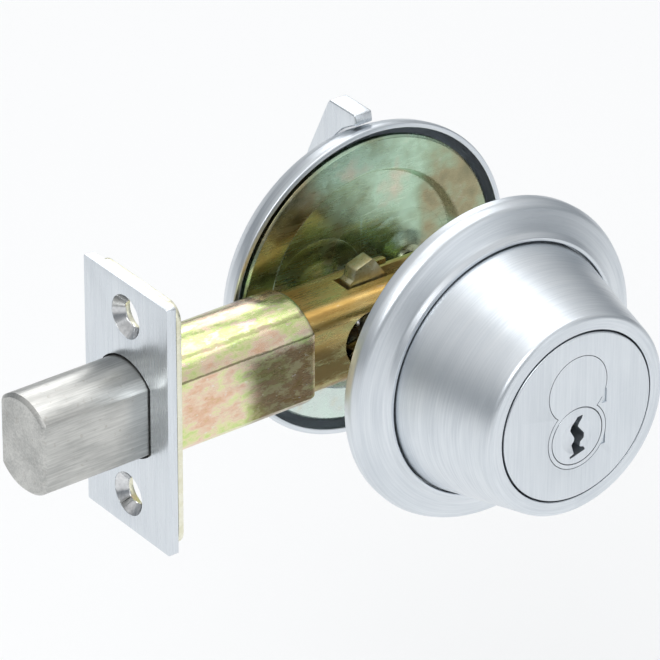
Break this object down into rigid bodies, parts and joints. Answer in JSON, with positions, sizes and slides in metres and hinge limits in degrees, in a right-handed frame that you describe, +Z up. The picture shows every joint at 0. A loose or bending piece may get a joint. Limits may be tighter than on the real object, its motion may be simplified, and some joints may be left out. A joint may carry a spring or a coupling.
{
  "type": "deadbolt door lock",
  "caption": "Tubular deadbolt lock: flatted bolt in a faceplate and tube, crank case, tapered keyed cylinder outside and a thumb turn rose inside.",
  "frame": {"origin": "centre of the door's cross bore on the bolt's centre line", "axes": "-X along the bolt out of the door edge, -Y to the key side, +Y to the thumb turn side, +Z up"},
  "size_m": [0.1308, 0.0922, 0.0737],
  "materials": {
    "satin_chrome": "satin chrome plate, fine brushing",
    "bolt_steel": "plain satin steel, brushed along the bolt",
    "zinc_yellow": "pale iridescent yellow zinc dichromate",
    "zinc_bronze": "golden bronze zinc dichromate",
    "zinc_green": "greenish zinc dichromate",
    "plain_steel": "bright zinc-plated steel",
    "spring_steel": "spring steel",
    "brass": "plain machined brass",
    "nylon": "natural nylon"
  },
  "bodies": {
    "housing": {"faceplate": "satin_chrome", "backing_plate": "zinc_yellow", "bolt_tube": "zinc_yellow", "rear_case": "zinc_bronze", "roll_pin": "plain_steel", "detent_spring": "spring_steel", "outside_rose": "satin_chrome", "collar_spring": "spring_steel", "cylinder_body": "satin_chrome", "cylinder_back_plate": "plain_steel", "back_plate_screw_upper": "plain_steel", "back_plate_screw_lower": "plain_steel", "core_shell": "satin_chrome", "control_sleeve": "brass", "driver_pin_1": "brass", "driver_pin_2": "brass", "driver_pin_3": "brass", "driver_pin_4": "brass", "driver_pin_5": "brass", "driver_pin_6": "brass", "driver_pin_7": "brass", "pin_spring_1": "spring_steel", "pin_spring_2": "spring_steel", "pin_spring_3": "spring_steel", "pin_spring_4": "spring_steel", "pin_spring_5": "spring_steel", "pin_spring_6": "spring_steel", "pin_spring_7": "spring_steel", "chamber_cap_1": "brass", "chamber_cap_2": "brass", "chamber_cap_3": "brass", "chamber_cap_4": "brass", "chamber_cap_5": "brass", "chamber_cap_6": "brass", "chamber_cap_7": "brass", "mounting_plate": "zinc_green", "mounting_screw_front": "plain_steel", "mounting_screw_rear": "plain_steel", "inside_rose": "satin_chrome", "turn_bushing": "nylon", "turn_washer": "spring_steel"},
    "bolt": {"bolt_bar": "bolt_steel", "anti_saw_roller_outer": "plain_steel", "anti_saw_roller_inner": "plain_steel", "bolt_tail": "zinc_green", "drive_pin": "plain_steel"},
    "hub": {"crank": "zinc_green"},
    "cylinder_drive": {"throw_member": "brass", "tailpiece": "plain_steel"},
    "plug": {"key_plug": "satin_chrome"},
    "turn": {"thumb_turn": "satin_chrome", "turn_clip": "spring_steel"},
    "collar": {"collar": "satin_chrome"}
  },
  "joints": [
    {"name": "thumb_turn_turn", "type": "hinge", "parent": "housing", "child": "turn", "pos_m": [0, 0, -0.0044], "axis": [0, 1, 0], "range_deg": [0, 90]},
    {"name": "crank_turn", "type": "hinge", "parent": "housing", "child": "hub", "pos_m": [0, 0, -0.0044], "axis": [0, 1, 0], "range_deg": [0, 90]},
    {"name": "tailpiece_turn", "type": "hinge", "parent": "housing", "child": "cylinder_drive", "pos_m": [0, 0, -0.0044], "axis": [0, 1, 0], "range_deg": [0, 90]},
    {"name": "key_plug_turn", "type": "hinge", "parent": "housing", "child": "plug", "pos_m": [0, 0, -0.0044], "axis": [0, 1, 0], "range_deg": [0, 90]},
    {"name": "bolt_slide", "type": "slide", "parent": "housing", "child": "bolt", "axis": [1, 0, 0], "range_m": [0, 0.0254]},
    {"name": "collar_spin", "type": "hinge", "parent": "housing", "child": "collar", "pos_m": [0, 0, 0], "axis": [0, 1, 0], "continuous": true}
  ],
  "couplings": [
    {"joint": "thumb_turn_turn", "follows": "bolt_slide", "rad_per_m": 61.842},
    {"joint": "crank_turn", "follows": "bolt_slide", "rad_per_m": 61.842},
    {"joint": "tailpiece_turn", "follows": "bolt_slide", "rad_per_m": 61.842},
    {"joint": "key_plug_turn", "follows": "bolt_slide", "rad_per_m": 61.842}
  ]
}
